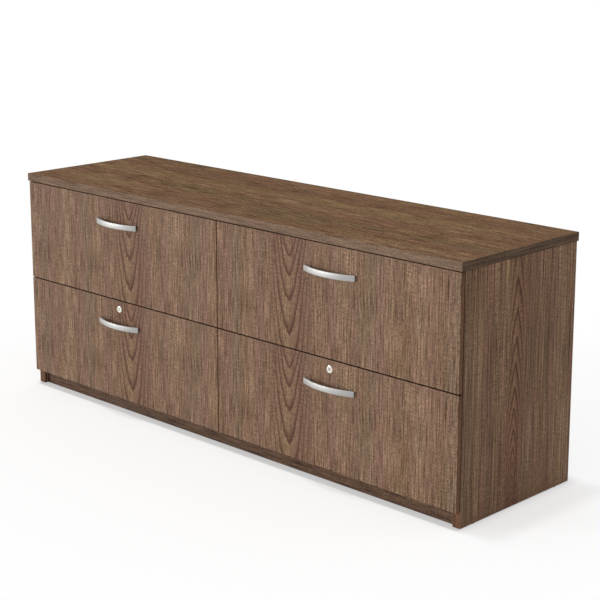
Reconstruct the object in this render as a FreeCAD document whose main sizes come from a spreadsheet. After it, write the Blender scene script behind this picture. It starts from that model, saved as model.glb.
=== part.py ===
import FreeCAD, Part
import Sketcher
import math
import os
import re

# A four-drawer lateral file credenza in wood-grain laminate, built flat board by flat board.
# Frame: millimetres, +Z up, the drawer fronts face -Y, the origin is the middle of the floor area.

os.makedirs("parts", exist_ok=True)
doc = FreeCAD.newDocument("file_credenza")

# Driving sizes
SIZES = {
    "width": 1829,             # over the top panel
    "depth": 508,              # over the top panel
    "height": 724,             # floor to the top surface
    "top_thick": 25,
    "end_thick": 25,
    "divider_thick": 18,
    "board_thick": 18,         # bottom panels and top stretchers
    "stretcher_wide": 80,
    "back_thick": 6,
    "end_overhang": 3.5,       # the top passes each end panel by this
    "top_lead": 2.5,           # the top's front edge ahead of the drawer faces
    "rear_overhang": 3,        # the top passes the end panels at the back
    "glide_tall": 2.5,
    "front_base": 49,          # drawer fronts start this far above the floor
    "front_thick": 13,
    "front_gap": 3,            # reveal between fronts and under the top
    "end_reveal": 0.5,         # fronts stop short of the end panels' outer faces
    "seat_gap": 2.5,           # a closed front stands off the carcass by this
    "kick_recess": 13,
    "kick_thick": 16,
    "rail_thick": 16,
    "rail_drop": 9,            # lock rail's lower edge below the lower front's top
    "rail_clear": 3,           # under the upper drawer's box
    "back_inset": 10,          # back panel ahead of the end panels' rear edges
    "groove_deep": 6,
    "groove_play": 0.2,
    "box_lift": 26,            # box above the lower edge of its front
    "box_drop": 56,            # box below the upper edge, which leaves the lock its room
    "box_thick": 15,
    "floor_thick": 9,
    "floor_lift": 12,
    "slide_deep": 12.7,
    "slide_tall": 45,
    "slide_set": 1.5,          # slides start behind the carcass edge
    "slide_rear": 19.5,        # and end ahead of the back panel
    "slide_lift": 100,
    "slide_wall": 1.2,
    "race": 4,                 # room for a bearing strip between two members
    "lip": 1.3,                # flange edge turned over the strip
    "web_gap": 0.5,
    "outer_back": 2.9,         # cabinet member's flange edges behind the drawer box
    "middle_back": 2.2,        # middle member's flange edges behind the drawer box
    "inner_stop": 1.3,         # drawer member's flange edges off the middle web
    "strip_stop": 25,          # strip ends short of the middle member's half length
    "strip_play": 0.2,
    "rest_wall": 1.5,          # hanging-file rail sheet
    "rest_leg": 12,
    "rest_lip": 10,
    "handle_end": 16,          # strap past each screw
    "handle_tall": 17,
    "handle_out": 27,
    "handle_span": 160,        # between its screws
    "handle_drop": 77.5,       # below the top of the front
    "strap": 4.5,
    "strap_end": 6,            # the strap's outer corner at each end, off the face
    "foot_long": 16,
    "foot_tall": 14,
    "hole_play": 0.1,          # added to the diameter of what a hole holds
    "lock_drop": 27,
    "lock_face": 22,
    "lock_proud": 1.8,
    "lock_barrel": 16,
    "lock_short": 2.5,         # the lock body ends this far ahead of the cam
    "plug": 11,
    "plug_play": 0.1,
    "plug_sunk": 0.3,          # plug face below the lock's rim
    "key_thick": 1.6,
    "key_wide": 7,
    "key_deep": 4,
    "cam_thick": 2,
    "cam_wide": 13,
    "cam_hold": 10,            # a turned cam laps the rail by this
    "cam_play": 1,
    "tail": 7,
    "nut_flats": 22,
    "nut_tall": 4,
    "glide": 22,
    "glide_inset": 60,
    "edge_ease": 1,
}

# Sizes that follow from the driving ones
DERIVED = {
    "half_run": "(depth + handle_out - top_lead) / 2",
    "y_top_front": "half_run - depth",
    "y_face": "y_top_front + top_lead",
    "y_seat": "y_face + front_thick",
    "y_carcass": "y_seat + seat_gap",
    "y_rear": "half_run - rear_overhang",
    "y_back_front": "y_rear - back_inset - back_thick",
    "y_kick_back": "y_carcass + kick_recess + kick_thick",
    "x_end_out": "width / 2 - end_overhang",
    "x_end_in": "x_end_out - end_thick",
    "x_end_mid": "x_end_out - end_thick / 2",
    "x_divider": "divider_thick / 2",
    "x_column": "(x_end_in + x_divider) / 2",
    "column_wide": "x_end_in - x_divider",
    "front_wide": "x_end_out - end_reveal - front_gap / 2",
    "x_front": "(x_end_out - end_reveal + front_gap / 2) / 2",
    "z_under": "height - top_thick",
    "front_tall": "(z_under - front_gap - front_gap - front_base) / 2",
    "z_upper": "front_base + front_tall + front_gap",
    "z_rail": "front_base + front_tall - rail_drop",
    "carcass_tall": "z_under - glide_tall",
    "carcass_long": "y_rear - y_carcass",
    "y_carcass_mid": "(y_rear + y_carcass) / 2",
    "rail_tall": "rail_drop + front_gap + box_lift - rail_clear",
    "box_wide": "column_wide - 2 * slide_deep",
    "box_tall": "front_tall - box_lift - box_drop",
    "slide_long": "y_back_front - y_carcass - slide_set - slide_rear",
    "box_long": "slide_long",
    "strip_long": "slide_long / 2 - strip_stop",
    "middle_web": "slide_wall + web_gap",
    "middle_in": "middle_web + slide_wall",
    "outer_tip": "slide_deep - outer_back",
    "middle_tip": "slide_deep - middle_back",
    "inner_tip": "middle_in + inner_stop",
    "strip_deep": "middle_tip - slide_wall - middle_in - strip_play",
    "handle_long": "handle_span + 2 * handle_end",
    "lock_long": "cam_front - lock_short",
    "cam_reach": "lock_drop - rail_drop + cam_hold",
    "y_box": "y_seat + box_long / 2",
    "bow": "handle_out - strap_end",
    "bow_radius": "((handle_long / 2) ^ 2 + bow ^ 2) / (2 * bow)",
    "foot_in": "(handle_span - foot_long) / 2",
    "foot_out": "(handle_span + foot_long) / 2",
    "y_slide": "y_carcass + slide_set + slide_long / 2",
    "half_outer": "slide_tall / 2",
    "half_middle": "half_outer - slide_wall - race",
    "half_inner": "half_middle - slide_wall - race",
    "cam_front": "seat_gap + front_thick + rail_thick + cam_play",
}

sheet = doc.addObject("Spreadsheet::Sheet", "Sizes")
for row, (word, number) in enumerate(SIZES.items(), 1):
    sheet.set(f"A{row}", word)
    sheet.set(f"B{row}", str(number))
    sheet.setAlias(f"B{row}", word)
doc.recompute()

nodes = []
eased = []


def bind(text):
    """Writes a size formula with every word turned into a cell reference."""
    def swap(match):
        word = match.group(0)
        if word in DERIVED:
            return "(" + bind(DERIVED[word]) + ")"
        return word if word in ("sqrt", "asin") else "Sizes." + word
    return re.sub(r"[a-z_]+", swap, text)


def keep(label, shape_object):
    """Names a finished piece and lists it for writing."""
    shape_object.Label = label
    nodes.append(shape_object)
    return shape_object


def place(item, x, y, z):
    for axis, text in (("x", x), ("y", y), ("z", z)):
        item.setExpression("Placement.Base." + axis, bind(text))


def new_body(name):
    body = doc.addObject("PartDesign::Body", name)
    body.Label = name + "_body"
    return body


def sketch_on(body, role, offset="0"):
    sketch = body.newObject("Sketcher::SketchObject", body.Name + "_sketch")
    plane = next(item for item in body.Origin.OriginFeatures if item.Role == role)
    sketch.AttachmentSupport = [(plane, "")]
    sketch.MapMode = "FlatFace"
    if offset != "0":
        sketch.setExpression("AttachmentOffset.Base.z", bind(offset))
    return sketch


def pin(sketch, geometry, point, corner, at):
    """Holds one sketch point at a pair of size formulas."""
    for kind, text, value in (("DistanceX", corner[0], at.x), ("DistanceY", corner[1], at.y)):
        number = sketch.addConstraint(Sketcher.Constraint(kind, -1, 1, geometry, point, value))
        sketch.setExpression(f"Constraints[{number}]", bind(text))


def outline(sketch, corners):
    """A closed polygon whose corners are pairs of size formulas."""
    first = sketch.GeometryCount
    count = len(corners)
    ring = [FreeCAD.Vector(20 * math.cos(6.283 * i / count), 20 * math.sin(6.283 * i / count), 0)
            for i in range(count)]
    for i in range(count):
        sketch.addGeometry(Part.LineSegment(ring[i], ring[(i + 1) % count]), False)
    for i in range(count):
        sketch.addConstraint(Sketcher.Constraint("Coincident", first + i, 2, first + (i + 1) % count, 1))
    for i in range(count):
        pin(sketch, first + i, 1, corners[i], ring[i])


def rectangle(sketch, x0, x1, y0, y1):
    outline(sketch, [(x0, y0), (x1, y0), (x1, y1), (x0, y1)])


def circle(sketch, x, y, diameter):
    centre = FreeCAD.Vector(5, 5, 0)
    number = sketch.addGeometry(Part.Circle(centre, FreeCAD.Vector(0, 0, 1), 3), False)
    pin(sketch, number, 3, (x, y), centre)
    size = sketch.addConstraint(Sketcher.Constraint("Diameter", number, 6))
    sketch.setExpression(f"Constraints[{size}]", bind(diameter))


def sweep(body, kind, sketch, length):
    """Pads or pockets a sketch evenly to both sides of its plane."""
    feature = body.newObject("PartDesign::" + kind, body.Name + "_" + kind.lower())
    feature.Profile = sketch
    feature.SideType = "Symmetric"
    feature.setExpression("Length", bind(length))
    sketch.Visibility = False
    return feature


def turn(body, role, profile):
    """Revolves a half outline about the sketch's upright axis."""
    sketch = sketch_on(body, role)
    outline(sketch, profile)
    feature = body.newObject("PartDesign::Revolution", body.Name + "_turn")
    feature.Profile = sketch
    feature.ReferenceAxis = (sketch, ["V_Axis"])
    feature.Angle = 360
    sketch.Visibility = False
    return feature


def board(name, wide, long, tall, x, y, z):
    """A flat panel centred on a point, as one padded rectangle."""
    body = new_body(name)
    sketch = sketch_on(body, "XY_Plane")
    rectangle(sketch, f"-({wide}) / 2", f"({wide}) / 2", f"-({long}) / 2", f"({long}) / 2")
    sweep(body, "Pad", sketch, tall)
    place(body, x, y, z)
    return body


def drill(body, role, offset, holes, diameter, deep):
    """Round holes from a face; the cut runs as far outside the face as into it."""
    sketch = sketch_on(body, role, offset)
    for x, y in holes:
        circle(sketch, x, y, diameter)
    return sweep(body, "Pocket", sketch, f"2 * ({deep})")


def slot(body, role, offset, x0, x1, y0, y1, deep):
    sketch = sketch_on(body, role, offset)
    rectangle(sketch, x0, x1, y0, y1)
    return sweep(body, "Pocket", sketch, f"2 * ({deep})")


def mirrored(source, axis, at):
    """The opposite-hand twin of a piece across a plane square to an axis."""
    twin = doc.addObject("Part::Mirroring", source.Name + "_twin")
    twin.Source = source
    twin.Normal = FreeCAD.Vector(*[1 if name == axis else 0 for name in "xyz"])
    twin.setExpression("Base." + axis, bind(at))
    return twin


def group(name, members):
    bundle = doc.addObject("Part::Compound", name)
    bundle.Links = members
    return keep(name, bundle)


# Carcass: top, ends, divider, back, toe kick, and the boards across each column
glide_rows = ["y_carcass + glide_inset", "y_rear - glide_inset"]
pillars = [("-x_end_mid", "left_end"), ("0", "divider"), ("x_end_mid", "right_end")]

top = board("top_panel", "width", "depth", "top_thick", "0", "half_run - depth / 2",
            "height - top_thick / 2")
slot(top, "XY_Plane", "-top_thick / 2", "-(x_end_in + groove_deep)", "x_end_in + groove_deep",
     "y_back_front - groove_play / 2 - (half_run - depth / 2)",
     "y_back_front + back_thick + groove_play / 2 - (half_run - depth / 2)", "groove_deep")
keep("top_panel", top)
eased.append((top, "z", 1, "edge_ease"))

for side, sign in (("left", "-"), ("right", "")):
    inward = "" if side == "left" else "-"
    end = board(side + "_end_panel", "end_thick", "carcass_long", "carcass_tall", f"{sign}x_end_mid",
                "y_carcass_mid", "glide_tall + carcass_tall / 2")
    slot(end, "YZ_Plane", f"{inward}end_thick / 2",
         "y_back_front - groove_play / 2 - y_carcass_mid",
         "y_back_front + back_thick + groove_play / 2 - y_carcass_mid",
         "-carcass_tall / 2 - 1", "carcass_tall / 2 + 1", "groove_deep")
    keep(side + "_end_panel", end)

divider = new_body("centre_divider")
divider_side = sketch_on(divider, "YZ_Plane")
outline(divider_side, [("y_carcass", "front_base"), ("y_kick_back", "front_base"),
                       ("y_kick_back", "glide_tall"), ("y_back_front", "glide_tall"),
                       ("y_back_front", "z_under"), ("y_carcass", "z_under")])
sweep(divider, "Pad", divider_side, "divider_thick")
keep("centre_divider", divider)

back_foot = "glide_tall + 20"
back_head = "z_under + groove_deep - hole_play"
back = board("back_panel", "2 * (x_end_in + groove_deep - hole_play)", "back_thick",
             f"{back_head} - ({back_foot})", "0", "y_back_front + back_thick / 2",
             f"({back_head} + {back_foot}) / 2")
keep("back_panel", back)

stretchers = []
for side, sign in (("left", "-"), ("right", "")):
    bottom = board(side + "_bottom_panel", "column_wide", "y_back_front - y_carcass", "board_thick",
                   f"{sign}x_column", "(y_back_front + y_carcass) / 2", "front_base + board_thick / 2")
    keep(side + "_bottom_panel", bottom)
    rail = board(side + "_lock_rail", "column_wide", "rail_thick", "rail_tall", f"{sign}x_column",
                 "y_carcass + rail_thick / 2", "z_rail + rail_tall / 2")
    keep(side + "_lock_rail", rail)
    for name, y in (("fore", "y_carcass + stretcher_wide / 2"),
                    ("rear", "y_back_front - stretcher_wide / 2")):
        stretchers.append(board(f"{side}_{name}_stretcher", "column_wide", "stretcher_wide", "board_thick",
                                f"{sign}x_column", y, "z_under - board_thick / 2"))
group("top_stretchers", stretchers)

kick = board("toe_kick", "2 * x_end_in", "kick_thick", "front_base - glide_tall", "0",
             "y_kick_back - kick_thick / 2", "(front_base + glide_tall) / 2")
keep("toe_kick", kick)

# Round glides under the ends and the divider
glides = []
for x, name in pillars:
    for number, y in enumerate(glide_rows):
        body = new_body(f"{name}_glide_{number}")
        turn(body, "XZ_Plane", [("0", "0"), ("glide / 2", "0"), ("glide / 2", "glide_tall"),
                                ("0", "glide_tall")])
        place(body, x, y, "0")
        glides.append(body)
group("floor_glides", glides)


def channel(name, half, tip, wall_from, wall_to, lip_from):
    """A slide member: a web and two flanges as a C in section, their edges turned over by a lip."""
    body = new_body(name)
    sketch = sketch_on(body, "XZ_Plane")
    inner = f"{half} - slide_wall"
    turned = f"{inner} - lip"
    upper = [(wall_to, inner), (lip_from, inner), (lip_from, turned), (tip, turned), (tip, half),
             (wall_from, half)]
    lower = [(x, f"-({z})") for x, z in reversed(upper)]
    outline(sketch, lower + upper)
    sweep(body, "Pad", sketch, "slide_long")
    return body


def strip(name, x0, z0, y0):
    """A bearing strip held in the raceway between two slide members."""
    box = doc.addObject("Part::Box", name)
    box.setExpression("Length", bind("strip_deep"))
    box.setExpression("Width", bind("strip_long"))
    box.setExpression("Height", bind("race - strip_play"))
    place(box, x0, y0, z0)
    return box


def slide_set(prefix, x_column, z_slide):
    """Both telescopic slides of one drawer: cabinet, middle and drawer members with bearing strips."""
    wall = f"{x_column} - column_wide / 2"
    sections = {
        "cabinet": ("half_outer", "outer_tip", "0", "slide_wall", "outer_tip - slide_wall"),
        "middle": ("half_middle", "middle_tip", "middle_web", "middle_in", "middle_tip - slide_wall"),
        "drawer": ("half_inner", "inner_tip", "slide_deep", "slide_deep - slide_wall",
                   "inner_tip + slide_wall"),
    }
    for kind, section in sections.items():
        body = channel(f"{prefix}_{kind}_slide", *section)
        place(body, wall, "y_slide", z_slide)
        group(f"{prefix}_{kind}_slides", [body, mirrored(body, "x", x_column)])
    rear = "y_slide + slide_long / 2 - 5 - strip_long"
    front = "y_slide - slide_long / 2 + 5"
    outer_x = f"{wall} + middle_web + strip_play"
    inner_x = f"{wall} + middle_in + strip_play / 2"
    strips = [
        strip(f"{prefix}_strip_a", outer_x, f"{z_slide} + half_middle", rear),
        strip(f"{prefix}_strip_b", outer_x, f"{z_slide} - half_middle - race + strip_play", rear),
        strip(f"{prefix}_strip_c", inner_x, f"{z_slide} + half_inner + strip_play", front),
        strip(f"{prefix}_strip_d", inner_x, f"{z_slide} - half_middle + slide_wall", front),
    ]
    twins = [mirrored(item, "x", x_column) for item in strips]
    group(f"{prefix}_slide_bearings", strips + twins)


def handle(prefix, x, z):
    """A bowed strap turned about the bow's own centre, standing on two feet."""
    body = new_body(prefix + "_handle")
    section = sketch_on(body, "YZ_Plane")
    outer, inner = "-bow_radius", "strap - bow_radius"
    half = "handle_tall / 2"
    outline(section, [(outer, f"edge_ease - {half}"), (f"{outer} + edge_ease", f"-{half}"),
                      (f"{inner} - edge_ease", f"-{half}"), (inner, f"edge_ease - {half}"),
                      (inner, f"{half} - edge_ease"), (f"{inner} - edge_ease", half),
                      (f"{outer} + edge_ease", half), (outer, f"{half} - edge_ease")])
    strap = body.newObject("PartDesign::Revolution", prefix + "_strap")
    strap.Profile = section
    strap.ReferenceAxis = (section, ["V_Axis"])
    strap.Midplane = True
    strap.setExpression("Angle", bind("2 * asin(handle_long / 2 / bow_radius)"))
    section.Visibility = False
    feet = sketch_on(body, "XY_Plane")
    face = "handle_out - bow_radius"
    middle = "-sqrt((bow_radius - strap / 2) ^ 2 - {0} ^ 2)"
    for sign in ("-", ""):
        outline(feet, [(f"{sign}foot_in", face), (f"{sign}foot_out", face),
                       (f"{sign}foot_out", middle.format("foot_out")),
                       (f"{sign}foot_in", middle.format("foot_in"))])
    sweep(body, "Pad", feet, "foot_tall")
    place(body, x, "y_face + bow_radius - handle_out", z)
    return keep(prefix + "_handle", body)


def drawer(prefix, sign, z_front, locked):
    """One file drawer: overlay front, box, hanging-file rails, handle and slides."""
    x_front = f"{sign}x_front"
    x_box = f"{sign}x_column"
    z_box = f"{z_front} + box_lift"
    z_mid = f"{z_front} + front_tall / 2"
    z_handle = f"{z_front} + front_tall - handle_drop"
    z_lock = f"{z_front} + front_tall - lock_drop"

    front = board(prefix + "_front", "front_wide", "front_thick", "front_tall", x_front,
                  "y_face + front_thick / 2", z_mid)
    if locked:
        drill(front, "XZ_Plane", "0", [("0", f"{z_lock} - ({z_mid})")], "lock_barrel + hole_play",
              "front_thick")
    keep(prefix + "_front", front)
    eased.append((front, "y", -1, "edge_ease"))

    groove_low = "floor_lift - box_tall / 2 - groove_play / 2"
    groove_high = "floor_lift + floor_thick - box_tall / 2 + groove_play / 2"
    side_x = f"{x_box} + box_wide / 2 - box_thick / 2"
    box_side = board(prefix + "_box_side", "box_thick", "box_long", "box_tall", side_x, "y_box",
                     f"{z_box} + box_tall / 2")
    slot(box_side, "YZ_Plane", "-box_thick / 2", "box_thick - groove_deep - box_long / 2",
         "box_long / 2 - box_thick + groove_deep", groove_low, groove_high, "groove_deep")
    group(prefix + "_box_sides", [box_side, mirrored(box_side, "x", x_box)])

    ends = []
    for name, y, face in (("fore", "y_seat + box_thick / 2", "-box_thick / 2"),
                          ("rear", "y_seat + box_long - box_thick / 2", "box_thick / 2")):
        box_end = board(f"{prefix}_box_{name}", "box_wide - 2 * box_thick", "box_thick", "box_tall", x_box,
                        y, f"{z_box} + box_tall / 2")
        slot(box_end, "XZ_Plane", face, "-box_wide / 2", "box_wide / 2", groove_low, groove_high,
             "groove_deep")
        ends.append(box_end)
    group(prefix + "_box_ends", ends)

    play = "2 * (groove_deep - hole_play)"
    floor = board(prefix + "_box_bottom", f"box_wide - 2 * box_thick + {play}",
                  f"box_long - 2 * box_thick + {play}", "floor_thick", x_box, "y_box",
                  f"{z_box} + floor_lift + floor_thick / 2")
    keep(prefix + "_box_bottom", floor)

    rest = new_body(prefix + "_rest")
    section = sketch_on(rest, "YZ_Plane")
    outline(section, [("-box_thick", "0"), ("0", "0"), ("0", "-rest_leg"), ("rest_wall", "-rest_leg"),
                      ("rest_wall", "rest_wall + rest_lip"), ("0", "rest_wall + rest_lip"),
                      ("0", "rest_wall"), ("-box_thick", "rest_wall")])
    sweep(rest, "Pad", section, "box_wide - 2 * box_thick - 1")
    place(rest, x_box, "y_seat + box_thick", f"{z_box} + box_tall")
    group(prefix + "_file_rails", [rest, mirrored(rest, "y", "y_box")])

    handle(prefix, x_front, z_handle)
    slide_set(prefix, x_box, f"{z_box} + slide_lift")
    return x_front, z_lock


def cam_lock(prefix, x, z):
    """A drawer cam lock: threaded body with its nut, a keyed plug and the cam on the plug's tail."""
    body = new_body(prefix + "_lock_shell")
    bore = "plug / 2 + plug_play / 2"
    turn(body, "XY_Plane", [(bore, "-lock_proud"), ("lock_face / 2 - 0.8", "-lock_proud"),
                            ("lock_face / 2", "0.8 - lock_proud"), ("lock_face / 2", "0"),
                            ("lock_barrel / 2", "0"), ("lock_barrel / 2", "lock_long"),
                            (bore, "lock_long")])
    place(body, x, "y_face", z)
    keep(prefix + "_lock_body", body)
    nut = new_body(prefix + "_lock_nut")
    flat = sketch_on(nut, "XZ_Plane")
    half, tip = "nut_flats / 2", "nut_flats / 3 ^ 0.5"
    outline(flat, [(tip, "0"), (f"{tip} / 2", half), (f"-{tip} / 2", half), (f"-{tip}", "0"),
                   (f"-{tip} / 2", f"-{half}"), (f"{tip} / 2", f"-{half}")])
    circle(flat, "0", "0", "lock_barrel + hole_play")
    sweep(nut, "Pad", flat, "nut_tall")
    place(nut, x, "y_seat + nut_tall / 2", z)
    keep(prefix + "_lock_nut", nut)

    plug = new_body(prefix + "_lock_plug")
    turn(plug, "XY_Plane", [("0", "plug_sunk - lock_proud"), ("plug / 2", "plug_sunk - lock_proud"),
                            ("plug / 2", "cam_front"), ("0", "cam_front")])
    tail = sketch_on(plug, "XZ_Plane", "-cam_front")
    rectangle(tail, "-tail / 2", "tail / 2", "-tail / 2", "tail / 2")
    sweep(plug, "Pad", tail, "2 * cam_thick")
    slot(plug, "XZ_Plane", "lock_proud - plug_sunk", "-key_thick / 2", "key_thick / 2", "-key_wide / 2",
         "key_wide / 2", "key_deep")
    place(plug, x, "y_face", z)
    keep(prefix + "_lock_plug", plug)

    cam = new_body(prefix + "_lock_cam")
    plate = sketch_on(cam, "XZ_Plane")
    outline(plate, [("-cam_wide / 2 - 1", "-3"), ("-4", "-cam_wide / 2"), ("cam_reach - 3", "-cam_wide / 2"),
                    ("cam_reach", "3 - cam_wide / 2"), ("cam_reach", "cam_wide / 2 - 3"),
                    ("cam_reach - 3", "cam_wide / 2"), ("-4", "cam_wide / 2"), ("-cam_wide / 2 - 1", "3")])
    half_hole = "(tail + hole_play) / 2"
    rectangle(plate, f"-{half_hole}", half_hole, f"-{half_hole}", half_hole)
    sweep(cam, "Pad", plate, "cam_thick")
    place(cam, x, "y_face + cam_front + cam_thick / 2", z)
    keep(prefix + "_lock_cam", cam)


# Four drawers; the lower pair carries the locks
for row, z_front, locked in (("upper", "z_upper", False), ("lower", "front_base", True)):
    for side, sign in (("left", "-"), ("right", "")):
        lock_x, lock_z = drawer(f"{row}_{side}", sign, z_front, locked)
        if locked:
            cam_lock(side, lock_x, lock_z)

doc.recompute()


def on_face(edge, box, axis, way):
    """True for a straight edge lying in the box's outermost plane along an axis."""
    name = axis.upper()
    plane = getattr(box, name + ("Max" if way > 0 else "Min"))
    flat = max(abs(getattr(edge.BoundBox, name + end) - plane) for end in ("Min", "Max")) < 1e-4
    return flat and isinstance(edge.Curve, Part.Line)


# Small eased edges: the top's upper rim and the faces of the fronts
for body, axis, way, radius in eased:
    tip = body.Tip
    box = tip.Shape.BoundBox
    chosen = []
    for number, edge in enumerate(tip.Shape.Edges, 1):
        if on_face(edge, box, axis, way):
            chosen.append(f"Edge{number}")
    round_over = body.newObject("PartDesign::Fillet", body.Name + "_ease")
    round_over.Base = (tip, chosen)
    round_over.setExpression("Radius", bind(radius))
    body.Tip = round_over

doc.recompute()

faults = [item.Name for item in doc.Objects if "Invalid" in item.State or "Error" in item.State]
for node in nodes:
    if node.Shape.isNull() or not node.Shape.isValid() or not node.Shape.Solids:
        faults.append(node.Label)
if faults:
    raise RuntimeError("not built: " + ", ".join(faults))

for node in nodes:
    node.Shape.exportStep(f"parts/{node.Label}.step")
print(len(nodes), "pieces written")
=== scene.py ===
# %% [markdown]
# # A four-drawer file credenza in walnut laminate
# The credenza comes from the CAD model as flat boards, slides, locks and handles. This script keeps those
# shapes where they are right, gives each one its finish, and models afresh the few pieces that need rounder
# forms than flat facets give. Every coordinate is in metres in the CAD frame: the drawer fronts face -Y.

# %% Load the CAD frame
import math
import bmesh
import bpy
from mathutils import Matrix, Vector


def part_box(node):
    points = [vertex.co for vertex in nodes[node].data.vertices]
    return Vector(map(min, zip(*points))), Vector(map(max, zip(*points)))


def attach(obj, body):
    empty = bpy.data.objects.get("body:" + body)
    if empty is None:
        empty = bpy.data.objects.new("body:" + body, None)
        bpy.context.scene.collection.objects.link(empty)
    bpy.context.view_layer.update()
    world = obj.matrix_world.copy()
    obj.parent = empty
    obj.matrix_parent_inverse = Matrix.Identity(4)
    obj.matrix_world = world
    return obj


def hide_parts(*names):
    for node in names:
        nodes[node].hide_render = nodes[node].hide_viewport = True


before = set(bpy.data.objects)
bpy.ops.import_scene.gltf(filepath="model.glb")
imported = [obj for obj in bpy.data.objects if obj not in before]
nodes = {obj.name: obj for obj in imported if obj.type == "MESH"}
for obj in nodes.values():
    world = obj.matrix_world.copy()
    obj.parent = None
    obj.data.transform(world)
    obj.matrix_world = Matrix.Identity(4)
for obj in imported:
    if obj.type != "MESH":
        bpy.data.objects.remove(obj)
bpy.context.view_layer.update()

drawers = ("upper_left", "upper_right", "lower_left", "lower_right")

# %% [markdown]
# ## The camera
# The photograph looks at the right-hand corner from a little above, through a long lens, and its upright
# edges stay almost parallel. A small downward lens shift gives part of that look and still leaves room for
# the whole object when the camera goes round it. The place, angle and lens come from a fit to the edges.

# %% Camera
def aim(camera, spot, yaw, pitch):
    """Stands the camera at a spot, turned by yaw from +Y and dipped by pitch."""
    forward = Vector((math.sin(yaw) * math.cos(pitch), math.cos(yaw) * math.cos(pitch), -math.sin(pitch)))
    right = Vector((math.cos(yaw), -math.sin(yaw), 0))
    turn = Matrix((right, right.cross(forward), -forward)).transposed()
    camera.matrix_world = Matrix.Translation(spot) @ turn.to_4x4()


camera = bpy.data.objects.new("camera", bpy.data.cameras.new("camera"))
bpy.context.scene.collection.objects.link(camera)
bpy.context.scene.camera = camera
camera.data.sensor_width = 36
camera.data.lens = 94.0
camera.data.shift_y = -0.1
camera.data.clip_end = 200
aim(camera, spot=(3.2960, -3.2603, 1.6308), yaw=-0.7743, pitch=0.2186)
bpy.context.scene.view_settings.view_transform = "Standard"
print("camera at", [round(v, 3) for v in camera.location], "lens", camera.data.lens)

# %% [markdown]
# ## Building materials from nodes
# Every finish here is a principled shader fed by procedural textures. A few small helpers keep the node code
# readable. One makes a material and one adds a node and wires it; the others are the steps that come again
# and again: a stretched noise, a new range for a value, a colour ramp, a blend, a product, and at the end
# the links into the shader.

# %% Adding nodes
def new_finish(name, sockets):
    """A material whose plain values are set on the shader's own sockets."""
    finish = bpy.data.materials.new(name)
    finish.use_nodes = True
    shader = finish.node_tree.nodes["Principled BSDF"]
    for key, value in sockets.items():
        shader.inputs[key].default_value = value
    return finish, finish.node_tree, shader


def add(tree, kind, sockets, **settings):
    """Adds a node, then links a node or socket into each named input, or sets it to a value."""
    made = tree.nodes.new("ShaderNode" + kind)
    for word, value in settings.items():
        setattr(made, word, value)
    for key, value in sockets.items():
        if isinstance(value, bpy.types.Node):
            value = value.outputs[0]
        if isinstance(value, bpy.types.NodeSocket):
            tree.links.new(value, made.inputs[key])
        else:
            made.inputs[key].default_value = value
    return made


# %% Values
def maths(tree, operation, first, second=0.0):
    return add(tree, "Math", {0: first, 1: second}, operation=operation)


def product(tree, *factors):
    """Multiplies values one after the other."""
    total = factors[0]
    for factor in factors[1:]:
        total = maths(tree, "MULTIPLY", total, factor)
    return total


def noise(tree, where, scale, detail=2.0, roughness=0.5):
    """Noise with its own scale for each axis, so that grain can run long one way."""
    spread = add(tree, "VectorMath", {0: where, 1: scale}, operation="MULTIPLY")
    return add(tree, "TexNoise", {"Vector": spread, "Scale": 1.0, "Detail": detail, "Roughness": roughness})


def rescale(tree, value, low, high, new_low, new_high):
    return add(tree, "MapRange", {0: value, 1: low, 2: high, 3: new_low, 4: new_high})


def mixed(tree, factor, first, second):
    return add(tree, "Mix", {0: factor, 2: first, 3: second}, data_type="FLOAT").outputs[0]


# %% Colours
def ramp(tree, value, stops):
    made = add(tree, "ValToRGB", {0: value})
    points = made.color_ramp.elements
    while len(points) < len(stops):
        points.new(0.5)
    for point, (position, colour) in zip(points, stops):
        point.position = position
        point.color = (*colour, 1)
    return made


def blended(tree, factor, first, second):
    return add(tree, "Mix", {0: factor, 6: first, 7: second}, data_type="RGBA").outputs[2]


def tinted(tree, colour, tint):
    return add(tree, "VectorMath", {0: colour, 1: tint}, operation="MULTIPLY")


def scaled(tree, colour, factor):
    return add(tree, "VectorMath", {0: colour, "Scale": factor}, operation="SCALE")


# %% Into the shader and onto the nodes
def feed(tree, shader, colour, roughness, height, strength, depth):
    """Links a colour, a roughness and a bump of a given strength and depth into a shader."""
    bump = add(tree, "Bump", {"Strength": strength, "Distance": depth, "Height": height})
    for key, made in (("Base Color", colour), ("Roughness", roughness), ("Normal", bump)):
        tree.links.new(made.outputs[0], shader.inputs[key])


def dressed(finish, *names):
    """Gives a finish to the material slots of CAD nodes."""
    for name in names:
        mesh = nodes[name].data
        if mesh.materials:
            mesh.materials[0] = finish
        else:
            mesh.materials.append(finish)
    print(finish.name, "on", len(names), "nodes")


# %% [markdown]
# ## Walnut laminate
# The faces are a printed walnut: fine threads of two widths, broken up by a soft speckle and by pores as fine
# as hairs, broad bands of grey, red and tan brown, and on each front one narrow heart figure, a set of nested
# arches. In a sawn board these are growth rings cut at a slant, so they are drawn the same way. A ring number
# grows with the distance from the heart line and with the distance along the board, and every whole number
# gives one arch. A term in x alone sharpens its tip. The pattern is read in each board's own axes (X across
# the grain, Y through the board, Z along it). On an edge that would show end grain the axes change places,
# because a real edge strip has lengthwise grain. The strips have a plain colour of their own, darkened by
# painted shade where they face along the grain, at a board's ends, such as the fronts' top and bottom edges
# in the gaps. A thin warm line of painted shade, found from the distance to a face's outline, runs where the
# print meets the strip and deepens the gaps between the fronts.

# %% Reading a point in a board's own axes
squarely = 0.7              # a surface faces along an axis when its normal has more of it than this


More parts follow.
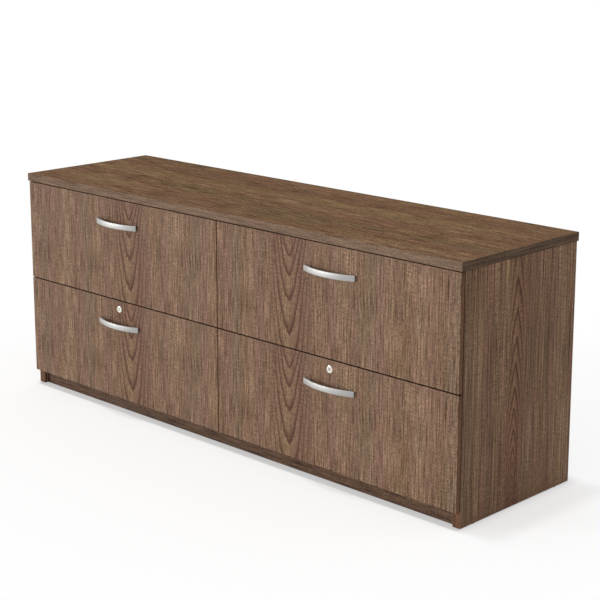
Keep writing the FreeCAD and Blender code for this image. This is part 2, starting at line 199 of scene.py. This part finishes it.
def board_axes(tree, heart, turn):
    """Grain coordinates from the heart, and whether the surface is a broad face or an end of the board."""
    spot = add(tree, "TexCoord", {})
    inside = add(tree, "Mapping", {"Vector": spot.outputs["Object"], "Location": heart, "Rotation": turn},
                 vector_type="TEXTURE")
    facing = add(tree, "Mapping", {"Vector": spot.outputs["Normal"], "Rotation": turn}, vector_type="TEXTURE")
    facing = add(tree, "SeparateXYZ", {0: add(tree, "VectorMath", {0: facing}, operation="ABSOLUTE")})
    on_end = maths(tree, "GREATER_THAN", facing.outputs[2], squarely)
    on_face = maths(tree, "GREATER_THAN", facing.outputs[1], squarely)
    axes = add(tree, "SeparateXYZ", {0: inside})
    swapped = add(tree, "CombineXYZ", {0: axes.outputs[1], 1: axes.outputs[2], 2: axes.outputs[0]})
    grain = add(tree, "Mix", {0: on_end, 4: inside, 5: swapped}, data_type="VECTOR").outputs[1]
    return grain, on_face, on_end


# %% Distance to a board's outline
far_off = (9, 9, 9)         # takes the axis that a face looks along out of the search for the nearest edge


def outline_distance(tree, low, high):
    """How far a point is from the nearest outline of the flat face that it lies on."""
    spot = add(tree, "TexCoord", {})
    out = add(tree, "VectorMath", {0: spot.outputs["Object"], 1: (low + high) / 2}, operation="SUBTRACT")
    out = add(tree, "VectorMath", {0: out}, operation="ABSOLUTE")
    inset = add(tree, "VectorMath", {0: (high - low) / 2, 1: out}, operation="SUBTRACT")
    facing = add(tree, "VectorMath", {0: spot.outputs["Normal"]}, operation="ABSOLUTE")
    clear = add(tree, "VectorMath", {0: facing, 1: far_off, 2: inset}, operation="MULTIPLY_ADD")
    x, y, z = add(tree, "SeparateXYZ", {0: clear}).outputs
    return maths(tree, "MINIMUM", x, maths(tree, "MINIMUM", y, z))


# %% Heart rings
ring_profile = ((0.0, 0.0), (0.40, 0.05), (0.70, 0.6), (0.80, 1.0), (0.88, 1.0), (0.97, 0.0))
heart_sway = 0.006          # how far the heart line wanders to each side


def heart_rings(tree, grain, taper, pitch, reach, keen):
    """Dark lines on nested arches outside a plain core, and how near the heart a point is."""
    across, _, along = add(tree, "SeparateXYZ", {0: grain}).outputs
    sway = rescale(tree, noise(tree, grain, (5, 5, 2.2), 1.0), 0.3, 0.7, -heart_sway, heart_sway)
    aside = maths(tree, "ABSOLUTE", maths(tree, "ADD", across, sway))
    run = maths(tree, "MAXIMUM", maths(tree, "MULTIPLY", along, -taper), 0.0)
    bend = maths(tree, "ADD", maths(tree, "MULTIPLY", aside, keen[0]), keen[1])
    arch = maths(tree, "SQRT", maths(tree, "ADD", maths(tree, "MULTIPLY", aside, bend), run))
    ring = maths(tree, "MULTIPLY", arch, 1 / pitch)
    ragged = rescale(tree, noise(tree, grain, (60, 60, 9), 2.0), 0.3, 0.7, 0.25, 0.39)
    lines = ramp(tree, maths(tree, "FRACT", maths(tree, "ADD", ring, ragged)),
                 [(at, (level, level, level)) for at, level in ring_profile])
    core = rescale(tree, ring, 1.7, 2.1, 0.0, 1.0)
    near = rescale(tree, aside, 0.42 * reach, reach, 1.0, 0.0)
    return product(tree, lines, near, core), near


# %% Broad bands of brown
plain = (1, 1, 1, 1)
walnut_browns = ((0.10, (0.168, 0.110, 0.070)), (0.34, (0.187, 0.119, 0.077)), (0.48, (0.189, 0.110, 0.073)),
                 (0.62, (0.206, 0.125, 0.080)), (0.88, (0.224, 0.146, 0.091)))
aged_tints = ((0.0, (1.035, 0.98, 1.07)), (0.5, (1, 1, 1)), (1.0, (0.98, 1.008, 0.905)))
heart_red = (0.97, 0.88, 0.90, 1)


def lit(light, colour):
    return [part * whole for part, whole in zip(light, colour)]


def board_tone(tree, grain, near, light, banding, blush, shrink):
    """The slow change of colour across a board, redder near the heart."""
    bands = noise(tree, grain, (7.5, 7.5, 0.9 * shrink), 3.0, 0.6)
    bands = rescale(tree, bands, 0.30, 0.70, 0.5 - 0.5 * banding, 0.5 + 0.5 * banding)
    tone = ramp(tree, bands, [(at, lit(light, colour)) for at, colour in walnut_browns])
    age = noise(tree, grain, (13, 13, 1.2 * shrink), 2.0, 0.6)
    age = ramp(tree, rescale(tree, age, 0.28, 0.72, 0.0, 1.0), aged_tints)
    red = blended(tree, maths(tree, "MULTIPLY", near, blush), plain, heart_red)
    return tinted(tree, tinted(tree, tone, age), red)


# %% Threads
thread_depth = 0.62


def threads_of(tree, grain, calm, shrink):
    """Threads of two widths, calmer where the heart figure runs."""
    coarse = noise(tree, grain, (240, 240, 11 * shrink), 0.0)
    fine = noise(tree, grain, (430, 430, 36 * shrink), 2.0, 0.6)
    return mixed(tree, calm, mixed(tree, 0.5, coarse, fine), 0.5)


def thread_tint(tree, threads, contrast):
    """Dark threads are warmer than pale ones."""
    depth = thread_depth * contrast
    dark = [max(1 - share * depth, 0) for share in (1.0, 1.1, 1.18)]
    pale = [1 + share * depth for share in (1.0, 1.08, 1.15)]
    threads = rescale(tree, threads, 0.25, 0.75, 0.0, 1.0)
    return ramp(tree, threads, [(0.0, dark), (0.5, (1, 1, 1)), (1.0, pale)])


# %% Speckle, ripple and pores
def swing(tree, value, amount):
    """Turns a noise into a factor that swings about one."""
    return rescale(tree, value, 0.25, 0.75, 1 - amount, 1 + amount)


def print_shade(tree, grain, banding, shrink):
    """The print's light and dark detail as one factor, and its speckle and pores by themselves."""
    streaks = swing(tree, noise(tree, grain, (52, 52, 2.2 * shrink), 2.0, 0.6), 0.12)
    clouds = swing(tree, noise(tree, grain, (16, 16, 2.5), 2.0), 0.07 * banding)
    ripple = rescale(tree, noise(tree, grain, (40, 40, 190), 1.0), 0.25, 0.75, -0.24, 0.24)
    patches = rescale(tree, noise(tree, grain, (8, 8, 3), 1.0), 0.40, 0.62, 0.2, 1.0)
    speckle = noise(tree, grain, (210, 210, 170), 1.0)
    mottle = maths(tree, "ADD", maths(tree, "MULTIPLY", ripple, patches), swing(tree, speckle, 0.38))
    pores = rescale(tree, noise(tree, grain, (900, 900, 38), 1.0), 0.62, 0.72, 0.0, 1.0)
    hairs = rescale(tree, noise(tree, grain, (2600, 2600, 60), 1.0), 0.56, 0.68, 1.05, 0.74)
    shade = product(tree, streaks, clouds, mottle, rescale(tree, pores, 0.0, 1.0, 1.0, 0.70), hairs)
    return shade, speckle, pores


# %% Walnut finish
line_ink = (0.066, 0.027, 0.018)
outline_start, outline_end = 0.0003, 0.0016


def walnut(board, heart, turn=(0, 0, 0), figure=1.0, taper=0.016, pitch=0.012, reach=0.095,
           keen=(1.0, 0.010), light=(1.07, 1.07, 1.07), gloss=0.06, contrast=1.25, banding=1.0, blush=0.5,
           strip=(0.146, 0.074, 0.040), end_painted_shade=0.22, outline_shade_factor=0.35, shrink=1.0):
    """Laminate for one board; heart is the middle of the figure at the end where its arms are open."""
    finish, tree, shader = new_finish("walnut_" + board, {"Specular IOR Level": gloss})
    grain, on_face, on_end = board_axes(tree, heart, turn)
    rings, near = heart_rings(tree, grain, taper, pitch, reach, keen)
    lines = noise(tree, grain, (560, 560, 18 * shrink), 2.0, 0.6)
    lines = rescale(tree, lines, 0.54, 0.70, 0.0, 0.24 * contrast)
    lines = maths(tree, "MAXIMUM", product(tree, rings, on_face, 0.85 * figure), lines)
    tone = board_tone(tree, grain, near, light, banding, blush, shrink)
    threads = threads_of(tree, grain, product(tree, near, on_face, 0.5 * figure), shrink)
    threaded = tinted(tree, tone, thread_tint(tree, threads, contrast))
    lined = blended(tree, lines, threaded, (*lit(light, line_ink), 1))
    shade, speckle, pores = print_shade(tree, grain, banding, shrink)
    # the edge strip's own threads and speckle, with painted shade that darkens it on the board's ends
    strip_grain_and_end_shade = product(tree, swing(tree, threads, 0.45), swing(tree, speckle, 0.28),
                   rescale(tree, on_end, 0.0, 1.0, 1.0, end_painted_shade))
    skin = blended(tree, on_face, scaled(tree, strip, strip_grain_and_end_shade), scaled(tree, lined, shade))
    # a thin warm line of painted shade along each face's outline; a factor of one paints none
    inside = rescale(tree, outline_distance(tree, *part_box(board)), outline_start, outline_end, 0.0, 1.0)
    outline_shade_tint = [outline_shade_factor ** power for power in (1.0, 1.25, 1.5)]
    skin = tinted(tree, skin, blended(tree, inside, (*outline_shade_tint, 1), plain))
    height = maths(tree, "SUBTRACT", maths(tree, "MULTIPLY", threads, 0.4), pores)
    feed(tree, shader, skin, rescale(tree, threads, 0.3, 0.7, 0.56, 0.46), height,
         strength=0.25, depth=0.0002)
    return finish


# %% [markdown]
# ## Walnut on the boards that show
# Each board gets its own finish, because its grain runs its own way and its heart lies at its own place. Two
# fronts in one column have their hearts on one upright line, as if cut from one sheet. The end panels have
# a slender heart and longer threads, the top has hardly any figure, and the toe kick none. The toe kick's
# colour is also darkened by painted shade, for its recess under the overhanging fronts.

# %% Fronts, end panels, top and toe kick
quarter = math.pi / 2
left_heart, right_heart = -0.398, 0.300
# the fronts keep the strongest painted shade on their top and bottom edges, which show in the gaps, and the
# darkest painted outline
for name in drawers:
    low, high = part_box(name + "_front")
    heart_x = left_heart if name.endswith("left") else right_heart
    dressed(walnut(name + "_front", (heart_x, low.y, high.z)), name + "_front")
for name, x, y, turn in (("right_end_panel", 0.911, 0.0, quarter),
                         ("left_end_panel", -0.911, 0.03, -quarter)):
    dressed(walnut(name, (x, y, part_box(name)[0].z), (math.pi, 0, turn), figure=1.15, taper=0.0038,
                   pitch=0.0034, reach=0.040, keen=(0.3, 0.010), light=(1.03, 0.975, 0.91), contrast=1.5,
                   banding=1.4, blush=1.0, outline_shade_factor=1.0, shrink=0.32), name)
top_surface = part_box("top_panel")[1].z
# on the top, painted shade darkens its ends, its right end among them, less than on the fronts, and its
# painted outline is fainter
dressed(walnut("top_panel", (0.9, 0.12, top_surface), (quarter, 0, quarter), figure=0.3, taper=0.004,
               light=(0.95, 0.92, 0.82), gloss=0.0, contrast=1.5, banding=1.15, blush=0.0,
               strip=(0.200, 0.133, 0.093), end_painted_shade=0.60, outline_shade_factor=0.6), "top_panel")
# the toe kick's colour is darkened by painted shade, for its recess under the overhanging fronts
low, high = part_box("toe_kick")
dressed(walnut("toe_kick", (0.9, low.y, high.z), (0, quarter, 0), figure=0.0, taper=0.004,
               light=(0.58, 0.535, 0.50), gloss=0.1, blush=0.0, outline_shade_factor=1.0), "toe_kick")

# %% [markdown]
# ## Faced boards inside
# The boards that no one sees with the drawers shut carry a plain printed foil: dark brown inside the carcass,
# a lighter brown on the back, and a pale one on the drawer boxes. The carcass boards still show through the
# gaps between the fronts, so their brown is made near black as painted shade for those gaps. The foil has
# faint fibres along the board and a slight mottle, and no figure, so one short finish serves all three.

# %% Foil finish
def foil(name, colour, turn, contrast):
    """A matte printed foil with faint fibres along Z of the turned axes."""
    finish, tree, shader = new_finish(name, {"Specular IOR Level": 0.25})
    grain, _, _ = board_axes(tree, (0, 0, 0), turn)
    fibres = noise(tree, grain, (150, 150, 4), 3.0, 0.6)
    mottle = noise(tree, grain, (12, 12, 5), 2.0)
    flecks = rescale(tree, noise(tree, grain, (700, 700, 60), 1.0), 0.64, 0.74, 0.0, 1.0)
    shade = product(tree, rescale(tree, fibres, 0.3, 0.7, 1 - contrast, 1 + contrast),
                    rescale(tree, mottle, 0.3, 0.7, 0.95, 1.05), rescale(tree, flecks, 0.0, 1.0, 1.0, 0.85))
    feed(tree, shader, scaled(tree, colour, shade), rescale(tree, fibres, 0.3, 0.7, 0.68, 0.56), fibres,
         strength=0.2, depth=0.0002)
    return finish


# %% Foil on the carcass and the drawer boxes
gap_shade_dark_brown, brown, pale = (0.035, 0.023, 0.016), (0.105, 0.072, 0.050), (0.56, 0.50, 0.42)
bold, faint = 0.14, 0.07
upright, sideways, front_to_back = (0, 0, 0), (0, quarter, 0), (quarter, 0, 0)
dressed(foil("brown_foil_back", brown, sideways, bold), "back_panel")
# the carcass boards behind the gaps are near black, partly their foil and partly painted shade for the gaps
dressed(foil("dark_foil_gap_shade_upright", gap_shade_dark_brown, upright, bold), "centre_divider")
dressed(foil("dark_foil_gap_shade_lengthwise", gap_shade_dark_brown, sideways, bold), "left_bottom_panel", "right_bottom_panel",
        "left_lock_rail", "right_lock_rail", "top_stretchers")
dressed(foil("pale_foil_lengthwise", pale, sideways, faint),
        *[d + part for d in drawers for part in ("_box_ends", "_box_bottom")])
dressed(foil("pale_foil_sides", pale, front_to_back, faint), *[d + "_box_sides" for d in drawers])

# %% [markdown]
# ## Metals and plastics
# The handles are brushed nickel: thousands of fine scratches along the strap stretch every highlight across
# it. Noise that is long one way and very fine the other gives those scratches to the roughness and the bump.
# The slides are zinc-plated sheet with a cloudy sheen. The locks are polished chrome with a duller plug. The
# file rails are anodised aluminium drawn through a die, so its lines run along the rail.

# %% Metal and plastic finishes
def metal(name, colour, smooth, rough, scale, scratch):
    """Bare metal; scale stretches the scratches, and roughness runs between smooth and rough."""
    finish, tree, shader = new_finish(name, {"Metallic": 1.0})
    where = add(tree, "TexCoord", {}).outputs["Object"]
    lines = noise(tree, where, scale, 3.0, 0.6)
    cloud = noise(tree, where, (60, 60, 60), 3.0)
    shade = product(tree, rescale(tree, lines, 0.3, 0.7, 0.95, 1.04),
                    rescale(tree, cloud, 0.3, 0.7, 0.95, 1.04))
    wear = maths(tree, "ADD", maths(tree, "MULTIPLY", lines, 0.6), maths(tree, "MULTIPLY", cloud, 0.4))
    feed(tree, shader, scaled(tree, colour, shade), rescale(tree, wear, 0.3, 0.7, smooth, rough), lines,
         strength=scratch, depth=0.00005)
    return finish


def plastic(name, colour, rough):
    """Moulded plastic with a fine eggshell texture."""
    finish, tree, shader = new_finish(name, {"Specular IOR Level": 0.4})
    where = add(tree, "TexCoord", {}).outputs["Object"]
    grit = noise(tree, where, (1500, 1500, 1500), 2.0)
    cloud = noise(tree, where, (90, 90, 90), 2.0)
    feed(tree, shader, scaled(tree, colour, rescale(tree, cloud, 0.3, 0.7, 0.9, 1.1)),
         rescale(tree, grit, 0.3, 0.7, rough - 0.08, rough + 0.08), grit, strength=0.15, depth=0.0001)
    return finish


# %% Metal and plastic on their pieces
brushed_nickel = metal("brushed_nickel", (0.375, 0.369, 0.359), 0.46, 0.58, (25, 1800, 1800), 0.25)
zinc_steel = metal("zinc_steel", (0.52, 0.54, 0.55), 0.30, 0.48, (400, 30, 400), 0.15)
lock_chrome = metal("lock_chrome", (0.83, 0.81, 0.74), 0.10, 0.22, (300, 300, 300), 0.05)
plug_chrome = metal("plug_chrome", (0.58, 0.54, 0.46), 0.20, 0.34, (300, 300, 300), 0.05)
rail_aluminium = metal("rail_aluminium", (0.66, 0.67, 0.68), 0.28, 0.40, (12, 1200, 1200), 0.2)
bearing_plastic = plastic("bearing_plastic", (0.55, 0.55, 0.52), 0.45)
glide_plastic = plastic("glide_plastic", (0.50, 0.49, 0.46), 0.5)
slides = [f"{d}_{part}_slides" for d in drawers for part in ("cabinet", "middle", "drawer")]
dressed(zinc_steel, *slides, "left_lock_nut", "right_lock_nut", "left_lock_cam", "right_lock_cam")
dressed(lock_chrome, "left_lock_body", "right_lock_body")
dressed(plug_chrome, "left_lock_plug", "right_lock_plug")
dressed(rail_aluminium, *[d + "_file_rails" for d in drawers])
dressed(bearing_plastic, *[d + "_slide_bearings" for d in drawers])
dressed(glide_plastic, "floor_glides")

# %% [markdown]
# ## Bowed handles
# Each handle is a flat metal strap bent to an even bow, standing on two small feet. The CAD strap is right
# in size but its bow shows facets, and a polished curve betrays every one. Here a rounded section is spun
# about the bow's centre in many small steps; the feet reach from the drawer front into the strap's back.

# %% Turning a bmesh into a piece
sharp = math.radians(40)    # edges that turn by more than this keep a crease


def make_piece(shape, name, finish, body, slot, *replaced):
    """Turns a bmesh into an object at the origin that rides on a body, shaded smooth up to sharp corners."""
    bmesh.ops.recalc_face_normals(shape, faces=shape.faces)
    mesh = bpy.data.meshes.new(name)
    shape.to_mesh(mesh)
    loose = sum(1 for edge in shape.edges if not edge.is_manifold)
    shape.free()
    mesh.shade_smooth()
    mesh.set_sharp_from_angle(angle=sharp)
    mesh.materials.append(finish)
    piece = bpy.data.objects.new(name, mesh)
    bpy.context.scene.collection.objects.link(piece)
    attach(piece, body)
    if replaced:
        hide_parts(*replaced)
    print(name, len(mesh.polygons), "faces,", loose, "open edges")


def rounded(shape, parts, offset, segments, affect="EDGES"):
    """Bevels edges or vertices to a round."""
    bmesh.ops.bevel(shape, geom=list(parts), offset=offset, segments=segments, profile=0.5, affect=affect,
                    material=-1)


# %% Strap
strap_thick = 0.0045
strap_end = 0.006           # the strap's outer corner at each end, off the drawer's face
strap_steps = 56


def add_strap(shape, centre, radius, tall, reach):
    """A rounded upright section at one end of the bow, spun about the bow's centre to the other end."""
    corners = bmesh.ops.create_grid(shape, x_segments=1, y_segments=1, size=0.5)["verts"]
    stand = Matrix.Translation(centre + Vector((0, strap_thick / 2 - radius, 0))) @ Matrix(
        ((0, 0, 1, 0), (strap_thick, 0, 0, 0), (0, tall, 0, 0), (0, 0, 0, 1)))
    bmesh.ops.transform(shape, matrix=stand, verts=corners)
    rounded(shape, corners, 0.0012, 4, affect="VERTICES")
    bmesh.ops.rotate(shape, cent=centre, matrix=Matrix.Rotation(-reach, 3, "Z"), verts=shape.verts)
    bmesh.ops.spin(shape, geom=shape.verts[:] + shape.edges[:] + shape.faces[:], cent=centre, axis=(0, 0, 1),
                   angle=2 * reach, steps=strap_steps)
    caps = [end for end in shape.faces if len(end.verts) > 4]
    rounded(shape, {edge for cap in caps for edge in cap.edges}, 0.0004, 2)


# %% Feet
handle_screw_x = 0.080      # a foot and its screw, from the handle's middle
foot_long, foot_tall = 0.016, 0.014


def add_foot(shape, side, centre, radius, face):
    """A block from the drawer's face into the back of the strap, with rounded uprights."""
    foot = bmesh.ops.create_cube(shape, size=1)["verts"]
    for corner in foot:
        x = side * (handle_screw_x + foot_long * corner.co.x)
        into = centre.y - math.sqrt((radius - strap_thick / 2) ** 2 - x ** 2)
        corner.co = (centre.x + x, face if corner.co.y > 0 else into, centre.z + foot_tall * corner.co.z)
    uprights = {edge for corner in foot for edge in corner.link_edges
                if abs(edge.verts[0].co.y - edge.verts[1].co.y) > 0.01}
    rounded(shape, uprights, 0.003, 5)


# %% Handles
for name in drawers:
    low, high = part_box(name + "_handle")
    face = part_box(name + "_front")[0].y
    half, bow = (high.x - low.x) / 2, face - low.y - strap_end
    radius = (half ** 2 + bow ** 2) / (2 * bow)
    centre = Vector(((low.x + high.x) / 2, low.y + radius, (low.z + high.z) / 2))
    handle = bmesh.new()
    add_strap(handle, centre, radius, high.z - low.z, math.asin(half / radius))
    for side in (-1, 1):
        add_foot(handle, side, centre, radius, face)
    make_piece(handle, name + "_strap_handle", brushed_nickel, name + "_drawer", "brushed_nickel",
               name + "_handle")

# %% [markdown]
# ## Screws
# An open drawer shows its fastenings: six screws on the inside of the box front, four that hold the drawer
# front and two that reach the handle, and three through each slide member on the box sides. One pan head
# serves them all. A disc of sixteen sides is extruded upwards in steps that draw it in, and its last face is
# pulled into a four-pointed star and pushed down, which makes the cross recess. The finished head is copied
# to each place and turned to face the right way. Four more hold the back panel to the divider.

# %% Pan-head screws
head_radius = 0.0040
dome = ((1.0, 0.22), (0.88, 0.42), (0.64, 0.55))    # radius and height of each ring, as shares of the head
cross = (0.46, 0.17, 0.15, 0.17)                    # radius of four neighbouring corners of the recess
recess_rim, recess_floor, recess_taper = 0.54, 0.20, 0.8


def pan_head():
    """A mesh of one screw head that stands on the XY plane and faces +Z."""
    shape = bmesh.new()
    bmesh.ops.create_circle(shape, cap_ends=True, segments=16, radius=head_radius)
    top = shape.faces[:]
    base = top[0]
    steps = [((reach,) * 4, height) for reach, height in dome]
    steps += [(cross, recess_rim), ([recess_taper * reach for reach in cross], recess_floor)]
    for reaches, height in steps:
        grown = bmesh.ops.extrude_face_region(shape, geom=top)["geom"]
        if top[0] is not base:
            bmesh.ops.delete(shape, geom=top, context="FACES_ONLY")
        top = [part for part in grown if isinstance(part, bmesh.types.BMFace)]
        for point, corner in enumerate(top[0].verts):
            outward = corner.co.xy.normalized() * head_radius * reaches[point % 4]
            corner.co = (*outward, height * head_radius)
    head = bpy.data.meshes.new("pan_head")
    bmesh.ops.recalc_face_normals(shape, faces=shape.faces)
    shape.to_mesh(head)
    shape.free()
    return head


screw_head = pan_head()
print("pan head", len(screw_head.polygons), "faces")


# %% Copying a screw to its place
def screw(shape, spot, way):
    """Adds a screw head that stands on a surface at a spot and faces along way."""
    made = len(shape.verts)
    shape.from_mesh(screw_head)
    shape.verts.ensure_lookup_table()
    place = Matrix.Translation(spot) @ Vector(way).to_track_quat("Z", "Y").to_matrix().to_4x4()
    bmesh.ops.transform(shape, matrix=place, verts=shape.verts[made:])


# %% Screws in the drawers and the back
box_wall = 0.015            # the drawer box's boards
slide_sheet = 0.0012        # the slide members' sheet
front_screw_x, front_screw_lifts = 0.340, (0.060, 0.185)
slide_screws = (0.035, 0.225), 0.060                # behind the slide's front end, and ahead of its rear end
back_screw_lifts = (0.10, 0.27, 0.44, 0.61)
rearwards = (0, 1, 0)


def drawer_screws(drawer):
    floor_low, floor_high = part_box(drawer + "_box_bottom")
    grip_low, grip_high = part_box(drawer + "_handle")
    sides_low, sides_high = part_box(drawer + "_box_sides")
    slide_low, slide_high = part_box(drawer + "_drawer_slides")
    inner_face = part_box(drawer + "_front")[1].y + box_wall
    middle = (floor_low.x + floor_high.x) / 2
    grip = ((grip_low.x + grip_high.x) / 2, (grip_low.z + grip_high.z) / 2)
    from_front, from_rear = slide_screws
    rows = [slide_low.y + gap for gap in from_front] + [slide_high.y - from_rear]
    shape = bmesh.new()
    for side in (-1, 1):
        screw(shape, Vector((grip[0] + side * handle_screw_x, inner_face, grip[1])), rearwards)
        for lift in front_screw_lifts:
            screw(shape, Vector((middle + side * front_screw_x, inner_face, sides_low.z + lift)), rearwards)
        web = middle + side * (sides_high.x - middle + slide_sheet)
        for y in rows:
            screw(shape, Vector((web, y, (slide_low.z + slide_high.z) / 2)), (side, 0, 0))
    make_piece(shape, drawer + "_screws", zinc_steel, drawer + "_drawer", "zinc_steel")


for name in drawers:
    drawer_screws(name)
shape = bmesh.new()
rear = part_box("back_panel")[1].y
for lift in back_screw_lifts:
    screw(shape, Vector((0, rear, lift)), rearwards)
make_piece(shape, "back_screws", zinc_steel, "carcass", "zinc_steel")

# %% [markdown]
# ## Ball bearings and folded edges
# A full-extension slide runs on rows of steel balls that a plastic cage keeps apart. The CAD model has a
# plain strip in each raceway, the size of the whole row. Each strip is replaced here by a thin cage
# with a ball every ten millimetres: one small ball of forty faces is made, and copied to every place. The
# slides are folded from sheet, and no real fold or cut board is knife-sharp, so a small bevel runs along the
# edges of the slides, the rails, the drawer boxes and the locks. CAD triangles are loose, so they are welded
# first, in a modifier that leaves the CAD mesh itself as it was.

# %% Rows of balls
half_row = 0.100
outer_inset = Vector((0.0031, half_row, 0.0019))    # an outer row's middle, from the corner of all the rows
inner_step_x, inner_step_z = 0.0011, 0.0050         # an inner row lies nearer the box and its own middle


def bearing_rows(drawer):
    """The middle of each row of balls in a drawer's two slides."""
    low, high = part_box(drawer + "_slide_bearings")
    middle = (low + high) / 2
    outer = high - middle - outer_inset
    inner = Vector((outer.x - inner_step_x, low.y + half_row - middle.y, outer.z - inner_step_z))
    for side in (-1, 1):
        for lift in (-1, 1):
            for row in (outer, inner):
                yield middle + Vector((side * row.x, row.y, lift * row.z))


# %% Cages and balls
ball_radius, ball_pitch, balls_each_way = 0.0019, 0.010, 9
cage_size = Matrix.Diagonal((0.0058, 2 * half_row, 0.0012, 1))
cage_round = 0.002


def ball_bearings(drawer):
    cages, balls = bmesh.new(), bmesh.new()
    pattern = bmesh.ops.create_uvsphere(balls, u_segments=8, v_segments=5, radius=ball_radius)["verts"]
    ball = pattern + balls.edges[:] + balls.faces[:]
    for spot in bearing_rows(drawer):
        cage = bmesh.ops.create_cube(cages, size=1, matrix=Matrix.Translation(spot) @ cage_size)["verts"]
        rounded(cages, {edge for corner in cage for edge in corner.link_edges
                        if abs(edge.verts[0].co.z - edge.verts[1].co.z) > 0.001}, cage_round, 3)
        for step in range(-balls_each_way, balls_each_way + 1):
            copied = bmesh.ops.duplicate(balls, geom=ball)["geom"]
            bmesh.ops.translate(balls, vec=spot + Vector((0, step * ball_pitch, 0)),
                                verts=[part for part in copied if isinstance(part, bmesh.types.BMVert)])
    bmesh.ops.delete(balls, geom=pattern, context="VERTS")
    body = drawer + "_middle"
    make_piece(cages, drawer + "_ball_cages", bearing_plastic, body, "bearing_plastic",
               drawer + "_slide_bearings")
    make_piece(balls, drawer + "_bearing_balls", zinc_steel, body, "zinc_steel")


for name in drawers:
    ball_bearings(name)

# %% Eased edges
weld_gap = 0.00001


def eased(width, *names):
    """A narrow rounded bevel on the sharp edges of CAD nodes."""
    for name in names:
        joined = nodes[name].modifiers.new("joined", "WELD")
        joined.merge_threshold = weld_gap
        edge = nodes[name].modifiers.new("eased", "BEVEL")
        edge.width, edge.segments, edge.limit_method = width, 2, "ANGLE"
        edge.angle_limit, edge.profile = sharp, 0.5
    print("edges eased by", width, "on", len(names), "nodes")


eased(0.00035, *slides)
eased(0.0005, *[d + part for d in drawers for part in ("_box_sides", "_box_ends", "_file_rails")])
eased(0.0004, *[f"{s}_lock_{part}" for s in ("left", "right") for part in ("body", "nut", "plug", "cam")])

# %% [markdown]
# ## Floor and light
# A broad lamp at the front left lights the fronts and shines in the handles and locks, and two above light
# the top and the floor. The fronts come out lightest, the top a little darker and the right end darkest. The
# lamps above lean to the front, so the lower edge of the fronts casts a narrow shadow on the floor, and one
# of them leans to the left, which leaves a pale shadow at the right end. The floor glows a little for rays
# that see it directly, which lifts it to white without lighting the object, and the shadow stays on it.

# %% Surroundings
def seen_directly(tree):
    """One for rays that look straight at, mirror or pass to the surroundings, and zero for light bounces."""
    path = add(tree, "LightPath", {})
    seen = maths(tree, "MAXIMUM", path.outputs["Is Camera Ray"], path.outputs["Is Glossy Ray"])
    return maths(tree, "MAXIMUM", seen, path.outputs["Is Transmission Ray"])


fill_strength = 0.45
world = bpy.data.worlds.new("studio")
bpy.context.scene.world = world
world.use_nodes = True
tree = world.node_tree
soft = tree.nodes["Background"]
soft.inputs["Color"].default_value = plain
soft.inputs["Strength"].default_value = fill_strength
white = add(tree, "Background", {"Color": plain, "Strength": 1.0})
chosen = add(tree, "MixShader", {0: seen_directly(tree), 1: soft, 2: white})
tree.links.new(chosen.outputs[0], tree.nodes["World Output"].inputs["Surface"])
print("world fills with", fill_strength)

# %% Floor
floor_half = 60
grey_to_bounces, grey_to_eyes = (0.86, 0.86, 0.86, 1), (0.62, 0.62, 0.62, 1)
floor_glow = 0.43
shape = bmesh.new()
bmesh.ops.create_grid(shape, x_segments=1, y_segments=1, size=floor_half)
floor_mesh = bpy.data.meshes.new("floor")
shape.to_mesh(floor_mesh)
shape.free()
floor = bpy.data.objects.new("floor", floor_mesh)
bpy.context.scene.collection.objects.link(floor)
finish, tree, shader = new_finish("white_floor", {"Roughness": 0.9, "Specular IOR Level": 0.0,
                                                  "Emission Color": plain})
seen = seen_directly(tree)
tree.links.new(blended(tree, seen, grey_to_bounces, grey_to_eyes), shader.inputs["Base Color"])
tree.links.new(maths(tree, "MULTIPLY", seen, floor_glow).outputs[0], shader.inputs["Emission Strength"])
floor_mesh.materials.append(finish)
print("floor", 2 * floor_half, "m wide")


# %% Lamps
def lamp(name, towards, spread, strength):
    """A broad far lamp that lights the floor evenly; towards points from the object to the lamp."""
    light = bpy.data.lights.new(name, "SUN")
    light.energy, light.angle = strength, math.radians(spread)
    holder = bpy.data.objects.new(name, light)
    bpy.context.scene.collection.objects.link(holder)
    holder.rotation_euler = Vector(towards).to_track_quat("Z", "Y").to_euler()
    print(name, "spreads", spread, "degrees, strength", strength)


lamp("left_lamp", (-0.70, -0.71, 0.04), spread=14, strength=2.35)
lamp("overhead_lamp", (0.0, -0.03, 1.0), spread=5, strength=0.9)
lamp("upper_left_lamp", (-0.16, -0.03, 1.0), spread=5, strength=0.5)
